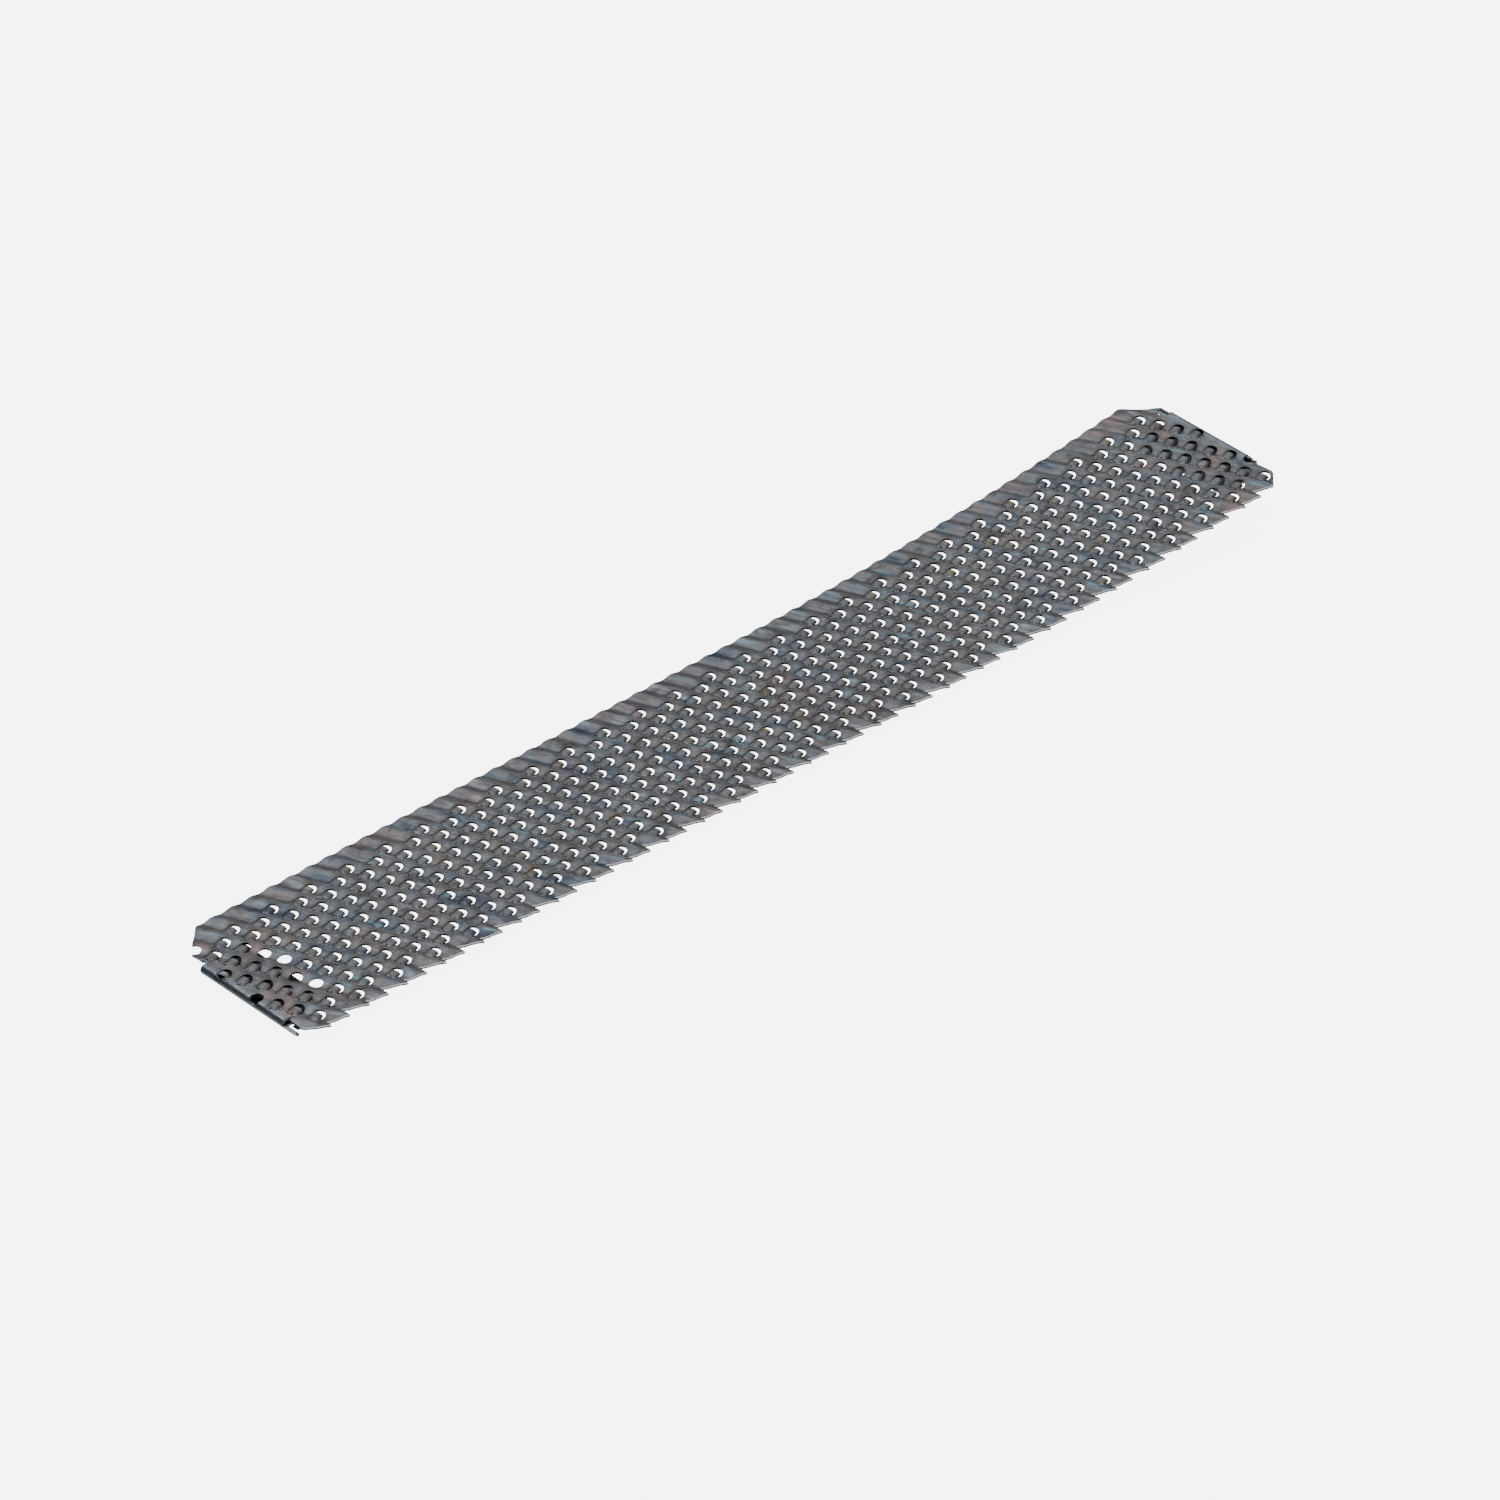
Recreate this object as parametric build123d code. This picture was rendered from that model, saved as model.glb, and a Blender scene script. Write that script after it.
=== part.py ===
"""Replacement blade of a hand rasp plane.

One strip of spring steel, punched into slanted rows of cutting holes, rippled once per row,
hardened, and folded under at each end into a hook that the holder pulls on.
The strip is written as six regions of the same sheet that meet face to face.

X runs along the blade, with the front end at +X, where the teeth point.
Y runs across it, with the plain safe edge at +Y and the saw-toothed edge at -Y.
Z is up, with Z = 0 at the underside of the rear hook, and the origin in the middle of the blade.
"""
from build123d import *
import os
from math import atan2, ceil, cos, degrees, floor, hypot, radians, sin, sqrt

# Strip, mm
blade_length = 254.0        # over the two folds
blade_width = 41.3          # safe edge to the points of the saw teeth
sheet = 0.55                # thickness of the steel
shoulder_setback = 1.3      # from the outside of a fold to the square end beside it
safe_corner = 6.0           # slanted corners at the safe edge
saw_corner = 3.4            # slanted corners at the saw-toothed edge
corner_round = 2.0

# Rows of cutting holes, mm and degrees
row_pitch = 4.215           # from row to row, square to the rows
hole_pitch = 4.25           # from hole to hole along a row
row_slant = 21.7            # how far the rows lean from square across the blade
row_start = -6.6            # where the middle row meets the first column of holes
hole_diameter = 2.65
safe_margin = 5.6           # from the safe edge to the first column of hole centres
saw_margin = 4.1            # least distance from the saw points to the last column
ripple = 0.4                # height of a ripple, trough to crest
crest_lead = 1.6            # from a row of holes forward to the next crest

# Raised cutting lip behind each hole, mm
lip_width = 2.2
lip_length = 1.5
lip_thickness = 0.42
lip_rise = 0.5              # cutting edge above the top of the sheet
lip_setback = 0.6           # from the hole's centre back to the cutting edge

# Saw-toothed edge, mm
deep_gullet = 3.0
shallow_gullet = 1.45
gullet_lead = 1.95          # root of a gullet behind the place of the next missing hole
point_undercut = 0.65       # how far a point hangs over the deep root beside it
point_flat = 0.15

# Curl left by hardening, mm
curl_start = 16.7           # flat up to here, measured square to the rows
curl_radius = 777.0

# Folded hooks, mm
fold_gap = 1.0              # clear height between the blade and the folded leg
leg_length = 11.5           # from the outside of the fold to the free edge of the leg
neck_width = 23.6
leg_width = 25.0
rear_neck_y = -1.5
front_neck_y = 0.3
leg_y = -0.8
leg_corner = 1.5
lug_reach = 3.6             # small lug beside the neck, at the level of the leg
lug_depth = 0.95
relief_radius = 0.45        # notch at each side of the neck
flat_land = 1.2             # flat strip of the neck just before the fold
seam = 0.01                 # overlap that joins features of one region

slant = radians(row_slant)
row_step_x = row_pitch / cos(slant)
column_step_x = hole_pitch * sin(slant) / 2
column_step_y = hole_pitch * cos(slant) / 2
half_width = blade_width / 2
half_length = blade_length / 2
hole_radius = hole_diameter / 2
fold_radius = fold_gap / 2 + sheet      # outside of the fold
fold_x = half_length - fold_radius      # where the fold starts
shoulder_x = half_length - shoulder_setback
mid_height = 1.5 * sheet + fold_gap     # middle of the sheet above the underside of the leg
first_column_y = half_width - safe_margin
column_count = floor((first_column_y + half_width - saw_margin) / column_step_y) + 1


def along(x, y):
    """Distance square to the rows of a point of the blade."""
    return x * cos(slant) + y * sin(slant)


def bow(path, lift=0.0):
    """Place (square to the rows, height) of a point at a distance along the curled strip."""
    turn = max(0.0, path - curl_start) / curl_radius
    reach = curl_radius - lift
    flat = min(path, curl_start)
    return flat + reach * sin(turn), mid_height + curl_radius - reach * cos(turn)


def path_to(distance):
    """Distance along the curled strip of a point at this distance square to the rows."""
    if distance <= curl_start:
        return distance
    rise = (distance - curl_start) / curl_radius
    return curl_start + curl_radius * atan2(rise, sqrt(1 - rise * rise))


def frame_at(x, y):
    """Local frame on the sheet: its X forward square to the rows, its Z out of the sheet."""
    path = path_to(along(x, y))
    turn = max(0.0, path - curl_start) / curl_radius
    height = bow(path)[1]
    return Pos(x, y, height) * Rot(0, 0, row_slant) * Rot(0, -degrees(turn), 0)


def hole_place(row, column):
    """Centre of a hole, from its row and its column counted from the safe edge."""
    x = row_start + row * row_step_x + column * column_step_x
    y = first_column_y - column * column_step_y
    square = along(x, y)
    return x + (bow(square)[0] - square) / cos(slant), y


def neck_y(end):
    return front_neck_y if end > 0 else rear_neck_y


def rippled_sheet():
    """The strip before it is cut out: each ripple is a flat crest, a flat trough and two slopes."""
    half_ripple = row_pitch / 2
    reach = along(half_length, half_width) + row_pitch
    crest = along(*hole_place(0, 0)) + crest_lead
    top = []
    bottom = []
    for number in range(floor(-reach / half_ripple), ceil(reach / half_ripple) + 1):
        level = ripple / 2 if number % 2 == 0 else -ripple / 2
        for side in (-1, 1):
            path = crest + number * half_ripple + side * half_ripple / 4
            top.append(bow(path, level + sheet / 2))
            bottom.append(bow(path, level - sheet / 2))
    section = Plane.XZ * Polygon(*top, *reversed(bottom), align=None)
    breadth = hypot(half_length, half_width)
    return Rot(0, 0, row_slant) * extrude(section, breadth, both=True)


def outline():
    """Plan of the strip up to the folds, with its corners, necks and saw teeth."""
    plan = Polygon(
        (-shoulder_x, -half_width + saw_corner),
        (-shoulder_x + saw_corner, -half_width),
        (shoulder_x - saw_corner, -half_width),
        (shoulder_x, -half_width + saw_corner),
        (shoulder_x, half_width - safe_corner),
        (shoulder_x - safe_corner, half_width),
        (-shoulder_x + safe_corner, half_width),
        (-shoulder_x, half_width - safe_corner),
        align=None,
    )
    plan = fillet(plan.vertices(), corner_round)
    below = -half_width - ripple
    gullets = []
    row = -ceil(half_length / row_step_x) - column_count
    while hole_place(row, column_count)[0] < half_length:
        if (row + column_count) % 2 == 0:
            deep_x = hole_place(row, column_count)[0] - gullet_lead
            shallow_x = hole_place(row + 1, column_count + 1)[0] - gullet_lead
            next_x = hole_place(row + 2, column_count)[0] - gullet_lead
            first_point = deep_x + point_undercut
            second_point = shallow_x - point_flat
            third_point = next_x + point_undercut
            gullets.append(Polygon(
                (deep_x, -half_width + deep_gullet),
                (second_point, -half_width),
                (second_point, below),
                (first_point, below),
                (first_point, -half_width),
                align=None,
            ))
            gullets.append(Polygon(
                (shallow_x, -half_width + shallow_gullet),
                (third_point - point_flat, -half_width),
                (third_point - point_flat, below),
                (second_point + point_flat, below),
                (second_point + point_flat, -half_width),
                align=None,
            ))
        row += 1
    plan -= gullets
    for end in (-1, 1):
        tab_length = fold_x - shoulder_x + corner_round
        tab_x = end * (fold_x - tab_length / 2)
        plan += Pos(tab_x, neck_y(end)) * Rectangle(tab_length, neck_width)
        for side in (-1, 1):
            corner_y = neck_y(end) + side * (neck_width / 2 + relief_radius)
            plan -= Pos(end * shoulder_x, corner_y) * Circle(relief_radius)
    return plan


def hole_places():
    """Centres of all the holes that the blade has room for."""
    places = []
    rows = ceil(half_length / row_step_x) + column_count
    for row in range(-rows, rows + 1):
        for column in range(column_count):
            x, y = hole_place(row, column)
            if (row + column) % 2 == 0 and abs(x) < fold_x + hole_radius / 2:
                places.append((x, y))
    return places


def has_lip(x, y):
    """A lip needs a whole hole, and none is raised over the free edge of a folded leg."""
    whole = abs(x) + hole_radius + lip_length / 2 < shoulder_x
    leg_edge = half_length - leg_length
    over_edge = abs(abs(x) - leg_edge) < lip_length and abs(y - leg_y) < leg_width / 2
    near_corner = half_width - y < abs(x) - (shoulder_x - safe_corner) + safe_margin
    return whole and not over_edge and not near_corner


def lip():
    """One raised lip in the local frame of its hole."""
    angle = degrees(atan2(lip_rise, lip_length * 0.75))
    blank = Box(lip_length, lip_width, lip_thickness, align=(Align.MAX, Align.CENTER, Align.MAX))
    return Pos(-lip_setback, 0, sheet / 2 + lip_rise) * Rot(0, -angle, 0) * blank


def fold_frame(end):
    """Local frame at the middle of a neck where its fold starts, with X pointing outwards."""
    x = end * fold_x
    y = neck_y(end)
    turn = max(0.0, path_to(along(x, y)) - curl_start) / curl_radius
    height = bow(path_to(along(x, y)))[1]
    tilt = Rot(0, 0, row_slant) * Rot(0, -degrees(turn), 0) * Rot(0, 0, -row_slant)
    facing = Rot(0, 0, 0) if end > 0 else Rot(0, 0, 180)
    return Pos(x, y, height) * tilt * facing


def fold(end):
    """The half-round fold, with a small lug beside the neck at the level of the leg."""
    ring = Circle(fold_radius) - Circle(fold_gap / 2)
    ring = Plane.XZ * (Pos(0, -fold_radius + sheet / 2) * ring)
    tube = extrude(ring, neck_width / 2, both=True)
    bend = tube & Pos(fold_radius, 0, 0) * Box(2 * fold_radius, 2 * neck_width, 6 * fold_radius)
    lug = Box(lug_depth, lug_reach + seam, sheet, align=(Align.MIN, Align.MIN, Align.MIN))
    lug = fillet(lug.edges().filter_by(Axis.Z).group_by(Axis.Y)[-1], lug_depth / 3)
    return bend + Pos(0, neck_width / 2 - seam, -fold_gap - 1.5 * sheet) * lug


def leg(end):
    """The flat leg that lies under the blade, from the fold back to its free edge."""
    length = leg_length - fold_radius
    level = -fold_gap - sheet
    side_shift = (leg_y - neck_y(end)) * end
    plate = Pos(-length / 2, side_shift) * Rectangle(length, leg_width)
    throat = Pos(-relief_radius, 0) * Rectangle(2 * relief_radius, neck_width)
    beside = Pos(-relief_radius, 0) * Rectangle(2 * relief_radius, 2 * leg_width)
    plate = plate - beside + throat
    free = plate.vertices().group_by(Axis.X)[0]
    plate = fillet(free, leg_corner)
    return Pos(0, 0, level) * extrude(plate, sheet / 2, both=True)


def land():
    """Flat strip of the neck that the fold starts from."""
    return Pos(-flat_land / 2, 0, 0) * Box(flat_land, neck_width, sheet)


def beyond_neck():
    """Space that the fold takes over from the neck."""
    width = neck_width + 2 * relief_radius
    return Box(2 * fold_radius, width, 3 * fold_radius, align=(Align.MIN, Align.CENTER, Align.CENTER))


def build():
    height = mid_height + curl_radius / 10
    prism = Pos(0, 0, -mid_height) * extrude(outline(), height)
    strip = rippled_sheet() & prism
    for end in (-1, 1):
        strip += fold_frame(end) * land()
        strip -= fold_frame(end) * beyond_neck()
    places = hole_places()
    drill_depth = 2 * (sheet + ripple)
    punches = [frame_at(x, y) * Cylinder(hole_radius, drill_depth) for x, y in places]
    strip -= punches
    lips = [frame_at(x, y) * lip() for x, y in places if has_lip(x, y)]
    strip += lips

    safe_line = first_column_y + hole_radius + ripple
    above = Pos(0, safe_line, 0) * Box(
        2 * blade_length, blade_width, 2 * height, align=(Align.CENTER, Align.MIN, Align.CENTER)
    )
    nodes = {
        "cutting_web": strip - above,
        "safe_edge": strip & above,
    }
    for end, name in ((1, "front"), (-1, "rear")):
        frame = fold_frame(end)
        bend = frame * fold(end)
        near_fold = [
            punch for punch, (x, y) in zip(punches, places) if x * end > fold_x - hole_radius
        ]
        nodes[name + "_hook_fold"] = bend - near_fold if near_fold else bend
        nodes[name + "_hook_leg"] = frame * leg(end)
    return nodes


os.makedirs("parts", exist_ok=True)
for node, shape in build().items():
    export_step(shape, f"parts/{node}.step", write_pcurves=False)
    box = shape.bounding_box()
    print(node, len(shape.solids()), round(shape.volume, 1), box.min, box.max)
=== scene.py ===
import math
import random

import bmesh
import bpy
from mathutils import Matrix, Vector


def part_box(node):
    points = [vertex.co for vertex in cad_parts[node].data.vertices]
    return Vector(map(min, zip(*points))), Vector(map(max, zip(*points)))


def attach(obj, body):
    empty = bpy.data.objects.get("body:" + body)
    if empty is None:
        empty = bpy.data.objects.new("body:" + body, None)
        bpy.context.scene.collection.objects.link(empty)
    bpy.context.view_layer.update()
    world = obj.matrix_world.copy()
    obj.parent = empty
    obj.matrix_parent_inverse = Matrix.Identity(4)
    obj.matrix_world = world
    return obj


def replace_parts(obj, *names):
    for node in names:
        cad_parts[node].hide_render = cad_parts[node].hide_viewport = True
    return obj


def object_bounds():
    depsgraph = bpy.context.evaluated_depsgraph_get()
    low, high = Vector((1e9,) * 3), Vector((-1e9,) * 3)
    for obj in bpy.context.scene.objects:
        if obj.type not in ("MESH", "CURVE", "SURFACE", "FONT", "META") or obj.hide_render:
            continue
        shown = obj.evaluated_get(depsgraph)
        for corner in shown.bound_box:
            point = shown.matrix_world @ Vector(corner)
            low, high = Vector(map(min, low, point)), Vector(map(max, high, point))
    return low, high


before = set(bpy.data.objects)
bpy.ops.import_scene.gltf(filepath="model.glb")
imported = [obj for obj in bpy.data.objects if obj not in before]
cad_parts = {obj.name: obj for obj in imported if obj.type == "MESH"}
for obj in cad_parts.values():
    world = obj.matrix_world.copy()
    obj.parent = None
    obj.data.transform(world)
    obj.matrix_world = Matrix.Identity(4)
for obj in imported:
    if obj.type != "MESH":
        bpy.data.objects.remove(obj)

cad_low, cad_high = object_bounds()

# ------------------------------------------------------------------------------- Tempered steel
# The whole blade is one hardened and tempered spring steel. Tempering leaves a dark satin scale
# with blue, purple and bronze heat tints that run along the rows, and straw stains on some of the
# teeth. Over this colour light and shade are painted in: light-blue streaks along the rows and a
# lighter blue-grey on the folds are painted reflections, the torn roots get painted glints and
# specks of painted shade, the toothed holes' walls and the steel round them get painted shade,
# and the saw teeth's sheared walls are painted light above and dark below.


class Value:
    """An output of a shader node; sums and products of values become Math nodes."""

    def __init__(self, tree, socket=None):
        self.tree = tree
        self.socket = socket

    def node(self, kind, inputs=None, output=0, stops=None, **settings):
        """Makes any node: its settings first, then the values or links of its sockets."""
        made = self.tree.nodes.new(kind)
        for name, setting in settings.items():
            setattr(made, name, setting)
        if stops:
            ramp = made.color_ramp.elements
            while len(ramp) < len(stops):
                ramp.new(1.0)
            for element, (position, colour) in zip(ramp, stops):
                element.position = position
                element.color = (*colour, 1.0)
        for name, value in (inputs or {}).items():
            if isinstance(value, Value):
                self.tree.links.new(value.socket, made.inputs[name])
            else:
                made.inputs[name].default_value = value
        return Value(self.tree, made.outputs[output] if made.outputs else None)

    def math(self, operation, first, second):
        return self.node("ShaderNodeMath", {0: first, 1: second}, operation=operation)

    def __add__(self, other):
        return self.math("ADD", self, other)

    def __sub__(self, other):
        return self.math("SUBTRACT", self, other)

    def __mul__(self, other):
        return self.math("MULTIPLY", self, other)

    __radd__ = __add__
    __rmul__ = __mul__

    def __rsub__(self, other):
        return self.math("SUBTRACT", other, self)

    def between(self, low, high):
        """0 below low, 1 above high and a smooth step between them."""
        return self.node(
            "ShaderNodeMapRange",
            {"Value": self, "From Min": low, "From Max": high},
            interpolation_type="SMOOTHSTEP",
        )

    def tint(self, colour, over):
        """This value lays a colour over another colour."""
        return self.node("ShaderNodeMix", {0: self, 6: over, 7: colour}, output=2, data_type="RGBA")


def cloud(start, place, scale, detail=2.0, roughness=0.5):
    """A soft noise between about 0.25 and 0.75."""
    return start.node(
        "ShaderNodeTexNoise",
        {"Vector": place, "Scale": scale, "Detail": detail, "Roughness": roughness},
    )


row_slant = math.radians(21.7)

tempered_steel = bpy.data.materials.new("tempered steel")
tempered_steel.use_nodes = True
tree = tempered_steel.node_tree
tree.nodes.clear()
start = Value(tree)
place = start.node("ShaderNodeTexCoord", output="Object")
# X square to the rows and Y along them, both in millimetres
rows = start.node(
    "ShaderNodeMapping",
    {"Vector": place, "Rotation": (0, 0, -row_slant), "Scale": (1000, 1000, 1000)},
)
streaks = start.node("ShaderNodeMapping", {"Vector": rows, "Scale": (1.0, 0.22, 1.0)})
grain = start.node("ShaderNodeMapping", {"Vector": rows, "Scale": (1.0, 0.08, 1.0)})
split = tree.nodes.new("ShaderNodeSeparateXYZ")
tree.links.new(place.socket, split.inputs[0])
along_x = Value(tree, split.outputs[0])
across_y = Value(tree, split.outputs[1])
facing = start.node("ShaderNodeNewGeometry", output="Normal")
lean = tree.nodes.new("ShaderNodeSeparateXYZ")
tree.links.new(facing.socket, lean.inputs[0])
upright = start.node("ShaderNodeMath", {0: Value(tree, lean.outputs[2])}, operation="ABSOLUTE")
edge_wall = 1 - upright.between(0.45, 0.65)
painted_shade = start.node("ShaderNodeAttribute", output="Fac", attribute_name="painted_shade")
depth = start.node("ShaderNodeAttribute", output="Fac", attribute_name="depth")
burr = start.node("ShaderNodeAttribute", output="Fac", attribute_name="burr") * (1 - depth)
stain = start.node("ShaderNodeAttribute", output="Fac", attribute_name="stain")

heat = cloud(start, streaks, 0.30, 3.0, 0.6)
scale_colour = start.node(
    "ShaderNodeValToRGB",
    {"Fac": heat},
    stops=[
        (0.30, (0.050, 0.066, 0.098)),
        (0.42, (0.130, 0.152, 0.180)),
        (0.50, (0.170, 0.172, 0.176)),
        (0.58, (0.112, 0.106, 0.115)),
        (0.70, (0.240, 0.260, 0.285)),
    ],
)
# Light-blue streaks along the rows: a painted reflection of the sky.
painted_sky_reflection = cloud(start, streaks, 0.55, 2.0).between(0.60, 0.74)
colour = (painted_sky_reflection * 0.7).tint((0.190, 0.320, 0.390, 1), scale_colour)
smudge = cloud(start, rows, 0.24, 4.0, 0.65).between(0.52, 0.72)
colour = (smudge * 0.7).tint((0.060, 0.057, 0.058, 1), colour)
warm = cloud(start, rows, 0.13, 2.0).between(0.50, 0.68)
from_middle = start.node("ShaderNodeMath", {0: along_x}, operation="ABSOLUTE")
end_heat = from_middle.between(0.100, 0.120) * (1 - from_middle.between(0.1240, 0.1252))
colour = (warm * (0.25 + 0.45 * end_heat)).tint((0.250, 0.175, 0.165, 1), colour)
# The folds are painted a lighter blue-grey: a painted reflection standing in for the sheen on their
# round.
on_fold = from_middle.between(0.1245, 0.1258)
colour = (on_fold * 0.7).tint((0.190, 0.225, 0.260, 1), colour)
straw = stain * cloud(start, rows, 0.30, 1.0).between(0.62, 0.72)
colour = (straw * 0.7).tint((0.210, 0.170, 0.080, 1), colour)
speck = cloud(start, rows, 3.2, 2.0, 0.7)
# Bright specks on the torn roots are painted glints, and the near-black specks among them painted
# shade.
colour = (burr * speck.between(0.52, 0.60)).tint((0.600, 0.640, 0.680, 1), colour)
colour = (burr * (1 - speck.between(0.40, 0.47))).tint((0.020, 0.020, 0.022, 1), colour)
# Round the toothed holes the sheet and the lips are darkened, and those holes' walls made near black:
# painted shade.
colour = (painted_shade * 0.45).tint((0.055, 0.055, 0.060, 1), colour)
colour = (edge_wall * painted_shade).tint((0.016, 0.015, 0.014, 1), colour)
# The saw teeth's sheared walls are painted light on their upper half and dark on their lower: a painted
# highlight over painted shade.
sheared = edge_wall * (1 - across_y.between(-0.0172, -0.0166))
colour = (sheared * (1 - depth.between(0.40, 0.55))).tint((0.820, 0.830, 0.840, 1), colour)
colour = (sheared * depth.between(0.45, 0.60)).tint((0.030, 0.030, 0.033, 1), colour)

roughness = 0.30 + 0.25 * cloud(start, rows, 0.5, 3.0, 0.6) + 0.10 * smudge
height = cloud(start, grain, 6.0, 2.0) * 0.35 + cloud(start, rows, 1.6, 3.0, 0.6)
height = height + burr * speck * 5.0
relief = start.node("ShaderNodeBump", {"Height": height, "Strength": 0.55, "Distance": 0.00006})
surface = start.node(
    "ShaderNodeBsdfPrincipled",
    {"Base Color": colour, "Roughness": roughness, "Metallic": 0.92, "Normal": relief},
)
start.node("ShaderNodeOutputMaterial", {"Surface": surface})

# ---------------------------------------------------------------------------- The punched strip
# A strip of spring steel about half a millimetre thick. It is punched with slanted, staggered
# rows of round holes, then rippled by rolls, one ripple for each row, and hardening leaves its
# front half curled up a little. One long edge stays plain and the other is sheared to saw teeth.
# It is laid out flat in millimetres, trimmed like the real blank, and only then rippled.
mm = 0.001
web_low, web_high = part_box("cutting_web")
leg_low, leg_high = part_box("rear_hook_leg")
sheet = (leg_high.z - leg_low.z) / mm
half_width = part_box("safe_edge")[1].y / mm
fold_x = -web_low.x / mm
end_x = fold_x - 0.25
fold_gap = 1.0
mid_height = 1.5 * sheet + fold_gap
safe_corner = 6.0
saw_corner = 3.4
corner_round = 2.0
row_pitch = 4.215
hole_pitch = 4.25
hole_radius = 1.325
break_out = 0.12
rim_points = 24
last_whole = end_x - hole_radius - 0.1
row_start = -6.6
first_column_y = half_width - 5.6
column_count = 17
row_step = row_pitch / math.cos(row_slant)
column_step_x = hole_pitch * math.sin(row_slant) / 2
column_step_y = hole_pitch * math.cos(row_slant) / 2
ripple = 0.4
crest_lead = 1.6
curl_start = 16.7
curl_radius = 777.0
neck_y = {1: 0.3, -1: -1.5}
neck_width = 23.6
leg_width = 25.0
leg_y = -0.8
hook_length = 11.5
leg_edge = fold_x + 1.05 - hook_length
first_row, last_row = -36, 36
first_column, last_column = -5, 22
longest_tongue = 18.45


def along(x, y):
    """Distance square to the rows."""
    return x * math.cos(row_slant) + y * math.sin(row_slant)


def bow(path, lift=0.0):
    """Place square to the rows, and height, of a point at a distance along the curled strip."""
    turn = max(0.0, path - curl_start) / curl_radius
    reach = curl_radius - lift
    height = mid_height + curl_radius - reach * math.cos(turn)
    return min(path, curl_start) + reach * math.sin(turn), height


def path_to(distance):
    """Distance along the curled strip of a point at this distance square to the rows."""
    if distance <= curl_start:
        return distance
    return curl_start + curl_radius * math.asin((distance - curl_start) / curl_radius)


def hole_place(row, column):
    """Centre of a hole, from its row and its column counted from the safe edge."""
    x = row_start + row * row_step + column * column_step_x
    y = first_column_y - column * column_step_y
    square = along(x, y)
    return x + (bow(square)[0] - square) / math.cos(row_slant), y


def has_lip(x, y):
    """A tooth needs a whole hole; at the rear none is raised over the leg's edge or by the corner."""
    whole = -last_whole - 1.0 < x < last_whole + 0.8
    over_edge = abs(x + leg_edge) < 1.5 and abs(y - leg_y) < leg_width / 2
    near_corner = x < 0 and half_width - y < -x - (end_x - safe_corner) + 5.6
    return whole and not over_edge and not near_corner


def smooth_step(value, low, high):
    share = min(1.0, max(0.0, (value - low) / (high - low)))
    return share * share * (3 - 2 * share)


def cell(kind):
    """One cell of the flat sheet, square to the rows: 'tooth' and 'hole' are punched, 'plain' isn't."""
    bm = bmesh.new()
    if kind == "plain":
        bmesh.ops.create_grid(bm, x_segments=6, y_segments=6, size=1)
        border = bm.verts[:]
        for vert in border:
            vert.co.x = math.tan(vert.co.x * math.pi / 4)
            vert.co.y = math.tan(vert.co.y * math.pi / 4)
    else:
        bmesh.ops.create_circle(bm, segments=rim_points, radius=hole_radius)
        spread = bmesh.ops.extrude_edge_only(bm, edges=bm.edges[:])["geom"]
        border = [part for part in spread if isinstance(part, bmesh.types.BMVert)]
        for vert in border:
            vert.co /= max(abs(vert.co.x), abs(vert.co.y))
    lean = (column_step_y * math.cos(row_slant) - (row_step - column_step_x) * math.sin(row_slant)) / 2
    for vert in border:
        vert.co = (vert.co.x * row_pitch / 2, vert.co.y * hole_pitch / 2 + vert.co.x * lean, 0)
    # This layer marks the rims of the toothed holes, whose walls and surroundings get painted shade.
    painted_shade_layer = bm.verts.layers.float.new("painted_shade")
    burr_layer = bm.verts.layers.float.new("burr")
    stain_layer = bm.verts.layers.float.new("stain")
    for vert in bm.verts:
        on_rim = vert.co.length < hole_radius * 1.01
        vert[stain_layer] = 1.0 if kind == "tooth" and on_rim and vert.co.y > 0 else 0.0
        vert[painted_shade_layer] = 1.0 if kind == "tooth" and on_rim else 0.0
        root = kind == "tooth" and on_rim and vert.co.x < -hole_radius / 2
        vert[burr_layer] = 1.0 if root else 0.0
    bm.normal_update()
    for face in bm.faces:
        if face.normal.z < 0:
            face.normal_flip()
    bmesh.ops.rotate(bm, verts=bm.verts[:], matrix=Matrix.Rotation(row_slant, 3, "Z"))
    taper_layer = bm.verts.layers.float_vector.new("taper")
    for vert in bm.verts:
        if vert.co.length < hole_radius * 1.01:
            vert[taper_layer] = vert.co * (break_out / hole_radius)
    mesh = bpy.data.meshes.new(kind + " cell")
    bm.to_mesh(mesh)
    bm.free()
    return mesh


cells = {kind: cell(kind) for kind in ("tooth", "hole", "plain")}
teeth = []
blank = bmesh.new()
for row in range(first_row, last_row + 1):
    for column in range(first_column, last_column + 1):
        flat_x = row_start + row * row_step + column * column_step_x
        y = first_column_y - column * column_step_y
        beyond = abs(flat_x) > fold_x + longest_tongue or abs(y) > half_width + 3
        if (row + column) % 2 or beyond:
            continue
        x = hole_place(row, column)[0]
        kind = "plain"
        beside_neck = abs(x) > fold_x and abs(y - neck_y[1 if x > 0 else -1]) > neck_width / 2
        on_strip = -fold_x - hole_radius / 2 < x < fold_x
        if 0 <= column < column_count and on_strip and not beside_neck:
            kind = "tooth" if has_lip(x, y) else "hole"
        if kind == "tooth":
            teeth.append((x, y))
        cells[kind].transform(Matrix.Translation((flat_x, y, 0)))
        blank.from_mesh(cells[kind])
        cells[kind].transform(Matrix.Translation((-flat_x, -y, 0)))
for mesh in cells.values():
    bpy.data.meshes.remove(mesh)
bmesh.ops.remove_doubles(blank, verts=blank.verts[:], dist=0.03)
for vert in blank.verts:
    path = along(vert.co.x, vert.co.y)
    vert.co.x += (bow(path)[0] - path) / math.cos(row_slant)


def trim(bm, point, outward):
    """Shears off everything beyond a straight line of the flat plan."""
    everything = bm.verts[:] + bm.edges[:] + bm.faces[:]
    bmesh.ops.bisect_plane(
        bm, geom=everything, plane_co=(*point, 0), plane_no=(*outward, 0), clear_outer=True
    )


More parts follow.
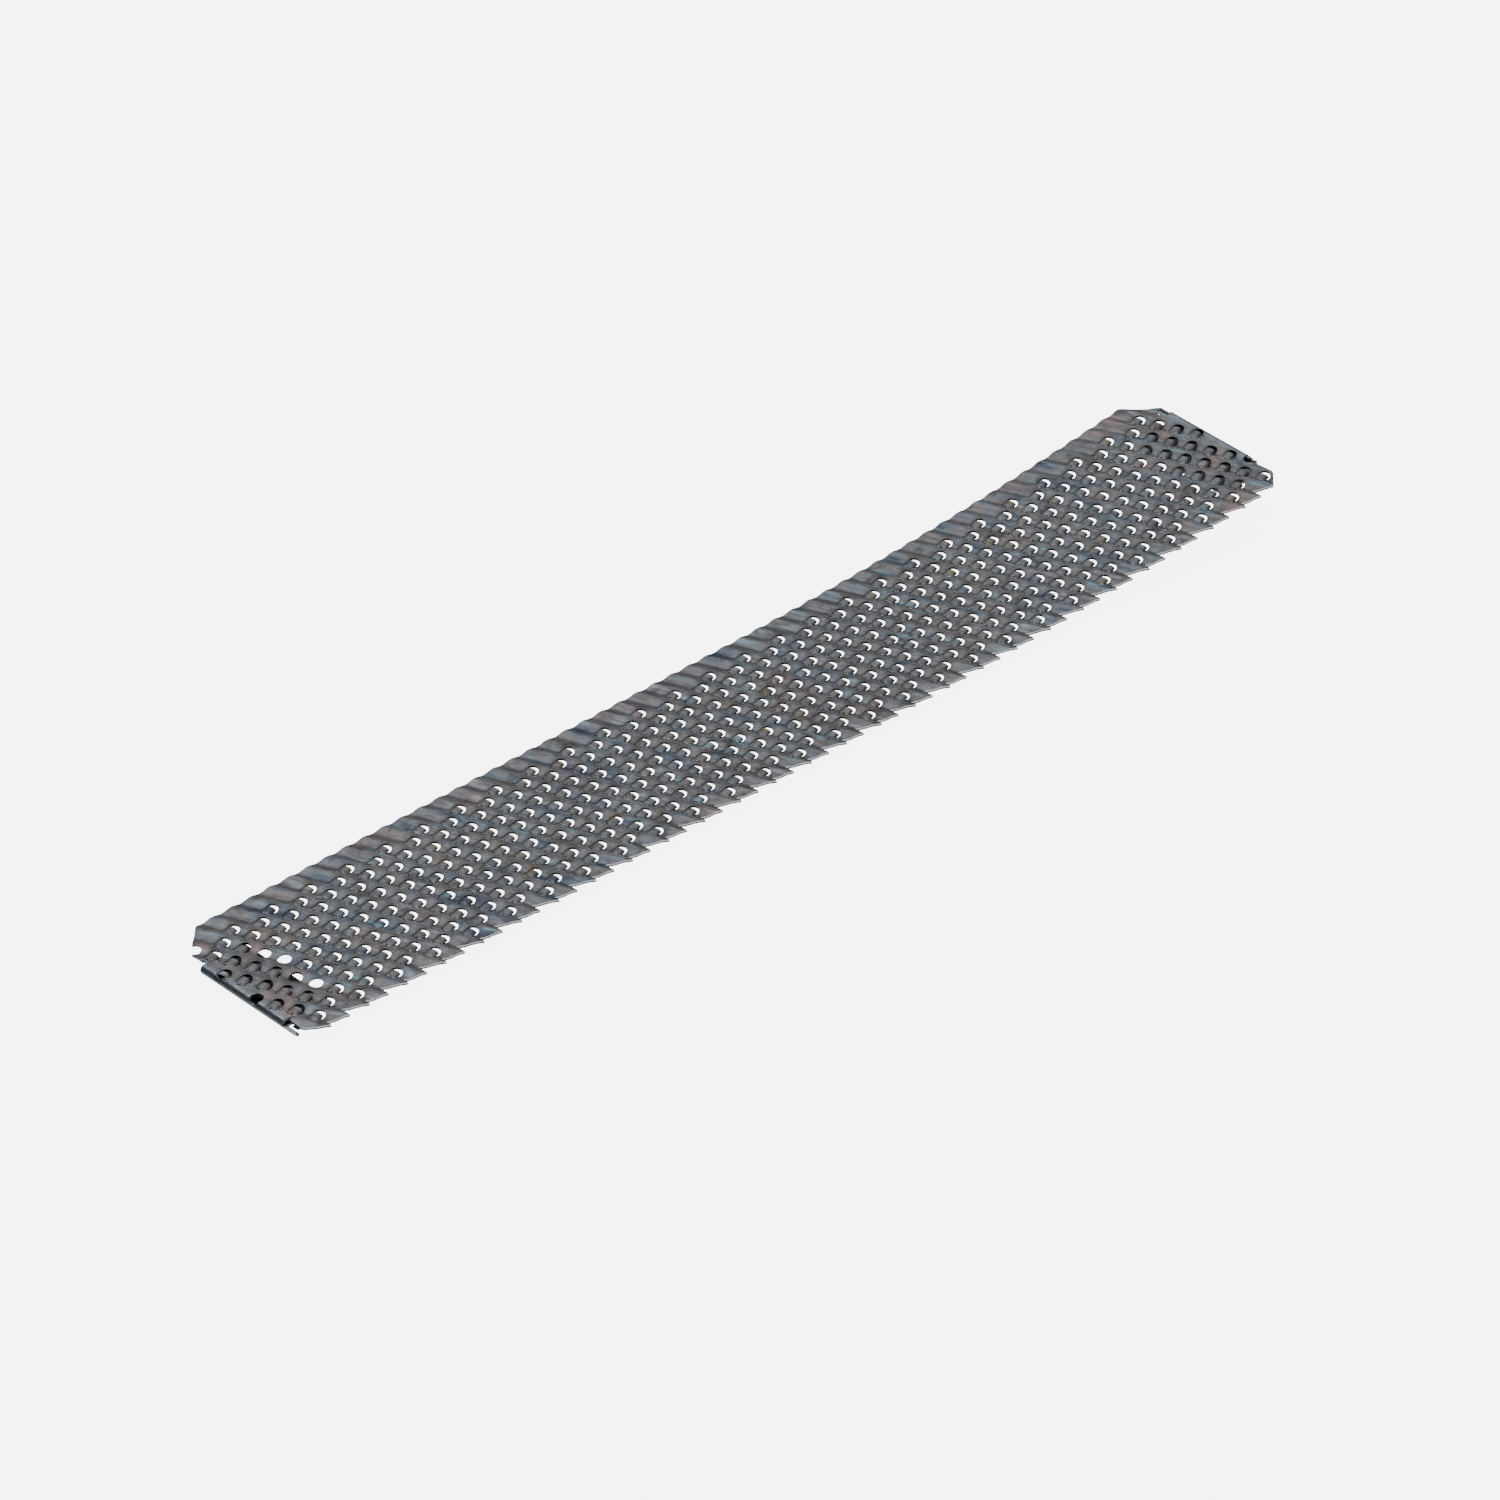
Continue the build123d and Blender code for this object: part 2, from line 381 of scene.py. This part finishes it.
def cut_out(bm, corners):
    """Cuts a convex polygon, its corners given anticlockwise, out of the flat plan."""
    low = [min(corner[axis] for corner in corners) for axis in (0, 1)]
    high = [max(corner[axis] for corner in corners) for axis in (0, 1)]
    near = set()
    for face in bm.faces:
        middle = face.calc_center_median()
        if low[0] - 2 < middle.x < high[0] + 2 and low[1] - 2 < middle.y < high[1] + 2:
            near.add(face)
    for first, second in zip(corners, corners[1:] + corners[:1]):
        edges = {edge for face in near for edge in face.edges}
        verts = {vert for face in near for vert in face.verts}
        outward = (second[1] - first[1], first[0] - second[0], 0)
        scored = bmesh.ops.bisect_plane(
            bm, geom=[*verts, *edges, *near], plane_co=(*first, 0), plane_no=outward
        )
        near = {part for part in scored["geom"] if isinstance(part, bmesh.types.BMFace)}
        near = {face for face in near if face.is_valid}
    inside = []
    for face in near:
        middle = face.calc_center_median()
        turns = [
            (b[0] - a[0]) * (middle.y - a[1]) - (b[1] - a[1]) * (middle.x - a[0])
            for a, b in zip(corners, corners[1:] + corners[:1])
        ]
        if min(turns) > 0:
            inside.append(face)
    bmesh.ops.delete(bm, geom=inside, context="FACES")


def thicken(bm, thickness, sharp, straight_down=False):
    """Gives an outer surface its thickness, inwards, and marks the edges sharper than an angle."""
    bm.normal_update()
    inward = bm.verts.layers.float_vector.new("inward")
    depth_layer = bm.verts.layers.float.new("depth")
    taper_layer = bm.verts.layers.float_vector.get("taper")
    for vert in bm.verts:
        vert[inward] = vert.normal * -thickness
        if straight_down:
            on_rim = vert[taper_layer].length > break_out * 0.95
            vert[inward] = Vector((0, 0, -thickness)) + vert[taper_layer] * on_rim
    inner = bmesh.ops.extrude_face_region(bm, geom=bm.faces[:], use_keep_orig=True)["geom"]
    for vert in inner:
        if isinstance(vert, bmesh.types.BMVert):
            vert.co += vert[inward]
            vert[depth_layer] = 1.0
    bm.verts.layers.float_vector.remove(inward)
    bmesh.ops.recalc_face_normals(bm, faces=bm.faces[:])
    for face in bm.faces:
        face.smooth = True
    for edge in bm.edges:
        edge.smooth = edge.calc_face_angle(0.0) < math.radians(sharp)


def finish_piece(bm, name):
    """Makes a mesh in millimetres a piece of tempered steel in metres."""
    bmesh.ops.scale(bm, vec=(mm, mm, mm), verts=bm.verts[:])
    mesh = bpy.data.meshes.new(name)
    bm.to_mesh(mesh)
    bm.free()
    piece = bpy.data.objects.new(name, mesh)
    bpy.context.scene.collection.objects.link(piece)
    mesh.materials.append(tempered_steel)
    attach(piece, "root")
    return piece


strip = blank.copy()
safe_reach = (end_x + half_width - safe_corner) / math.sqrt(2)
saw_reach = (end_x + half_width - saw_corner) / math.sqrt(2)
reaches = [end_x, safe_reach, half_width, safe_reach, end_x, saw_reach, half_width, saw_reach]
outline = [(math.radians(45 * number), reach) for number, reach in enumerate(reaches)]
for (turn, reach), (next_turn, next_reach) in zip(outline, outline[1:] + [(math.tau, end_x)]):
    facing_out = Vector((math.cos(turn), math.sin(turn)))
    next_out = Vector((math.cos(next_turn), math.sin(next_turn)))
    trim(strip, facing_out * reach, facing_out)
    corner_frame = Matrix((facing_out, next_out)).inverted()
    centre = corner_frame @ Vector((reach - corner_round, next_reach - corner_round))
    for share in (0.25, 0.5, 0.75):
        between = turn + (next_turn - turn) * share
        rounded = Vector((math.cos(between), math.sin(between)))
        trim(strip, centre + rounded * corner_round, rounded)

deep_gullet = 3.0
shallow_gullet = 1.45
gullet_lead = 1.95
point_undercut = 0.65
point_flat = 0.15
below = -half_width - 1
row = first_row
while hole_place(row, column_count)[0] < end_x:
    if (row + column_count) % 2 == 0:
        deep_x = hole_place(row, column_count)[0] - gullet_lead
        shallow_x = hole_place(row + 1, column_count + 1)[0] - gullet_lead
        next_x = hole_place(row + 2, column_count)[0] - gullet_lead
        second_point = shallow_x - point_flat
        third_point = next_x + point_undercut - point_flat
        cut_out(strip, [
            (deep_x, -half_width + deep_gullet),
            (deep_x + point_undercut, -half_width),
            (deep_x + point_undercut, below),
            (second_point, below),
            (second_point, -half_width),
        ])
        cut_out(strip, [
            (shallow_x, -half_width + shallow_gullet),
            (second_point + point_flat, -half_width),
            (second_point + point_flat, below),
            (third_point, below),
            (third_point, -half_width),
        ])
    row += 1

relief_radius = 0.45
for end in (-1, 1):
    for side in (-1, 1):
        notch_y = neck_y[end] + side * (neck_width / 2 + relief_radius)
        cut_out(strip, [
            (
                end * end_x + relief_radius * math.cos(math.tau * turn / 8),
                notch_y + relief_radius * math.sin(math.tau * turn / 8),
            )
            for turn in range(8)
        ])


def rippled(path):
    """Height of the ripple, which crests just ahead of each row of holes."""
    crest = along(*hole_place(0, 0)) + crest_lead
    return ripple / 2 * math.cos(math.tau * (path - crest) / row_pitch)


for vert in strip.verts:
    x, y = vert.co.x, vert.co.y
    path = path_to(along(x, y))
    end = 1 if x > 0 else -1
    by_fold = 1 - smooth_step(end_x - abs(x), 0.9, 3.6)
    in_neck = 1 - smooth_step(abs(y - neck_y[end]) - neck_width / 2, 0.0, 1.6)
    lift = sheet / 2 + rippled(path) * (1 - by_fold * in_neck)
    vert.co.z = bow(path, lift)[1]
thicken(strip, sheet, 38, straight_down=True)
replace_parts(finish_piece(strip, "punched_strip"), "cutting_web", "safe_edge")

# ---------------------------------------------------------------------------- The cutting teeth
# Behind each hole a lip of the same steel is sheared free at its front and sides and pressed up,
# so that its edge stands above the crests and shaves wood forwards. Its root stays torn and
# ragged. There are four slightly different lips, because no two punched ones are alike, and a
# stub where the hole is too close to the rear fold for a whole one.
tooth_turn = math.radians(9)
lip_width = 2.45
lip_length = 2.1
stub_length = 0.9
lip_lead = 0.15
lip_thickness = 0.34
lip_top = sheet / 2 + 0.36
lip_root = sheet / 2 + 0.06


def lip(number, length):
    """One lip in the frame of its hole: X forward to its cutting edge, Z out of the sheet."""
    chance = random.Random(number)
    bm = bmesh.new()
    bmesh.ops.create_grid(bm, x_segments=4, y_segments=6, size=1)
    burr_layer = bm.verts.layers.float.new("burr")
    stain_layer = bm.verts.layers.float.new("stain")
    # The lip is darkened a little with painted shade, and stained with straw all over.
    painted_shade_layer = bm.verts.layers.float.new("painted_shade")
    for vert in bm.verts:
        vert[stain_layer] = 1.0
        vert[painted_shade_layer] = 0.6
        forward = (vert.co.x + 1) / 2
        side = vert.co.y
        rise = math.sin(forward * math.pi / 2)
        torn = 1 - smooth_step(forward, 0.05, 0.35)
        vert[burr_layer] = torn
        x = lip_lead - length * (1 - forward) - 0.18 * side * side * forward
        y = side * lip_width / 2
        z = lip_root + (lip_top - lip_root) * rise * (1 - 0.6 * side ** 4) - 0.12 * side ** 4
        x += chance.uniform(-0.14, 0.14) * torn
        z += chance.uniform(-0.12, 0.14) * torn
        vert.co = (x, y, z)
    thicken(bm, lip_thickness, 40)
    for face in bm.faces:
        face.smooth = face.calc_center_median().x > lip_lead - length * 0.7
    mesh = bpy.data.meshes.new("lip")
    bm.to_mesh(mesh)
    bm.free()
    return mesh


lips = [lip(number, lip_length) for number in range(4)]
stub = lip(4, stub_length)
cutters = bmesh.new()
for number, (x, y) in enumerate(teeth):
    path = path_to(along(x, y))
    turn = max(0.0, path - curl_start) / curl_radius
    stand = Matrix.Translation((x, y, bow(path)[1]))
    stand = stand @ Matrix.Rotation(row_slant, 4, "Z") @ Matrix.Rotation(-turn, 4, "Y")
    stand = stand @ Matrix.Rotation(-tooth_turn, 4, "Z")
    shape = stub if x < -last_whole else lips[(number * 7) % len(lips)]
    shape.transform(stand)
    cutters.from_mesh(shape)
    shape.transform(stand.inverted())
for mesh in [*lips, stub]:
    bpy.data.meshes.remove(mesh)
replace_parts(finish_piece(cutters, "cutting_teeth"), "cutting_web")

# ------------------------------------------------------------------------------ The two hooks
# At each end a tongue of the strip is folded down and back under in a tight half round, so that
# the holder can pull on it. A small lug beside the neck is what is left of the blank's corner.
# Each is cut from the flat blank, holes and all, and then bent.
bend_radius = fold_gap / 2 + sheet / 2
bend_length = math.pi * bend_radius
lug_reach = 3.6
lug_start = bend_length * 0.53
throat = bend_length + 2 * relief_radius
leg_end = bend_length + hook_length - bend_radius - sheet / 2


def hook(end, name):
    """One hook, with d measured outwards from the fold and w along it."""
    tongue = blank.copy()
    turn_round = Matrix.Rotation(0 if end > 0 else math.pi, 4, "Z")
    to_fold = turn_round @ Matrix.Translation((-end * fold_x, -neck_y[end], 0))
    bmesh.ops.transform(tongue, matrix=to_fold, verts=tongue.verts[:])
    shift = (leg_y - neck_y[end]) * end
    neck = neck_width / 2
    side = neck + lug_reach
    trim(tongue, (end_x - fold_x, 0), (-1, 0))
    trim(tongue, (leg_end, 0), (1, 0))
    trim(tongue, (0, side), (0, 1))
    trim(tongue, (0, -side), (0, -1))
    far = side + 1
    cut_out(tongue, [(-1, neck), (lug_start, neck), (lug_start, far), (-1, far)])
    cut_out(tongue, [(bend_length, neck), (throat, neck), (throat, far), (bend_length, far)])
    cut_out(tongue, [(-1, -far), (throat, -far), (throat, -neck), (-1, -neck)])
    left, right = shift - leg_width / 2, shift + leg_width / 2
    cut_out(tongue, [(throat, right), (leg_end + 1, right), (leg_end + 1, far), (throat, far)])
    cut_out(tongue, [(throat, -far), (leg_end + 1, -far), (leg_end + 1, left), (throat, left)])
    for step in range(1, 10):
        everything = tongue.verts[:] + tongue.edges[:] + tongue.faces[:]
        score = (bend_length * (step - 1) / 8, 0, 0)
        bmesh.ops.bisect_plane(tongue, geom=everything, plane_co=score, plane_no=(1, 0, 0))
    path = path_to(along(end * fold_x, neck_y[end]))
    height = bow(path)[1]
    turn = max(0.0, path - curl_start) / curl_radius
    tilt = Matrix.Rotation(row_slant, 4, "Z") @ Matrix.Rotation(-turn, 4, "Y")
    tilt = tilt @ Matrix.Rotation(-row_slant, 4, "Z")
    stand = Matrix.Translation((end * fold_x, neck_y[end], height)) @ tilt @ turn_round
    outside = bend_radius + sheet / 2
    for vert in tongue.verts:
        d = vert.co.x
        round_turn = min(max(d, 0.0), bend_length) / bend_radius
        straight = min(d, 0.0) - max(0.0, d - bend_length)
        vert.co.x = straight + outside * math.sin(round_turn)
        vert.co.z = outside * math.cos(round_turn) - bend_radius
    bmesh.ops.transform(tongue, matrix=stand, verts=tongue.verts[:])
    thicken(tongue, sheet, 38)
    return finish_piece(tongue, name)


for end, name in ((-1, "rear_hook"), (1, "front_hook")):
    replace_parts(hook(end, name), name + "_fold", name + "_leg")
blank.free()

# --------------------------------------------------------------------- Floor, light and camera
# The blade lies on a backlit white table, whose own light reaches its walls and underside from
# below. Two soft lights behind it draw the ripples and the folds, one low at the side brightens
# the sheared saw-tooth edges, and the overhead and fill lights are weak.
floor_mesh = bpy.data.meshes.new("floor")
floor_plan = bmesh.new()
bmesh.ops.create_grid(floor_plan, x_segments=1, y_segments=1, size=4.0)
floor_plan.to_mesh(floor_mesh)
floor_plan.free()
floor = bpy.data.objects.new("floor", floor_mesh)
bpy.context.scene.collection.objects.link(floor)
floor_mesh.transform(Matrix.Translation((0, 0, cad_low.z - 0.0002)))
table_top = bpy.data.materials.new("backlit table")
table_top.use_nodes = True
table_surface = table_top.node_tree.nodes["Principled BSDF"].inputs
table_surface["Base Color"].default_value = (0.85, 0.85, 0.85, 1)
table_surface["Roughness"].default_value = 0.9
table_surface["Emission Color"].default_value = (1, 1, 1, 1)
table_surface["Emission Strength"].default_value = 6.0
floor_mesh.materials.append(table_top)
floor.visible_glossy = False
floor.visible_diffuse = False
floor.visible_shadow = False

world = bpy.data.worlds.new("studio")
world.use_nodes = True
world.node_tree.nodes["Background"].inputs["Color"].default_value = (0.80, 0.82, 0.85, 1)
world.node_tree.nodes["Background"].inputs["Strength"].default_value = 0.15
bpy.context.scene.world = world


def softbox(name, place, aim, size, power):
    """A square area light that points at a place."""
    light = bpy.data.lights.new(name, "AREA")
    light.shape = "SQUARE"
    light.size = size
    light.energy = power
    lamp = bpy.data.objects.new(name, light)
    bpy.context.scene.collection.objects.link(lamp)
    lamp.location = place
    lamp.rotation_euler = (Vector(aim) - Vector(place)).to_track_quat("-Z", "Y").to_euler()


softbox("overhead", (0.0, 0.0, 1.4), (0, 0, 0), 0.5, 1.5)
softbox("behind", (0.64, 0.73, 1.06), (0, 0, 0), 0.8, 4.5)
softbox("beside", (-0.15, 0.72, 0.92), (0, 0, 0), 0.3, 3.5)
softbox("fill", (-1.2, -0.6, 0.8), (0, 0, 0), 0.6, 1.0)
softbox("low side", (0.15, -1.0, 0.2), (0, 0, 0), 0.5, 3.0)
softbox("table light", (0.0, 0.0, -0.5), (0, 0, 0), 2.4, 16.0)

lens = bpy.data.cameras.new("camera")
lens.sensor_width = 36.0
lens.lens = 158.5
lens.clip_start = 0.05
lens.clip_end = 20.0
lens.shift_x = 0.0007
camera = bpy.data.objects.new("camera", lens)
bpy.context.scene.collection.objects.link(camera)
right = Vector((0.737719, -0.674207, -0.033613))
down = Vector((-0.400077, -0.396559, -0.826328))
forward = Vector((0.543737, 0.623066, -0.562223))
turned = Matrix((right, -down, -forward)).transposed()
camera.matrix_world = Matrix.Translation((-0.6914, -0.7908, 0.7074)) @ turned.to_4x4()
bpy.context.scene.camera = camera
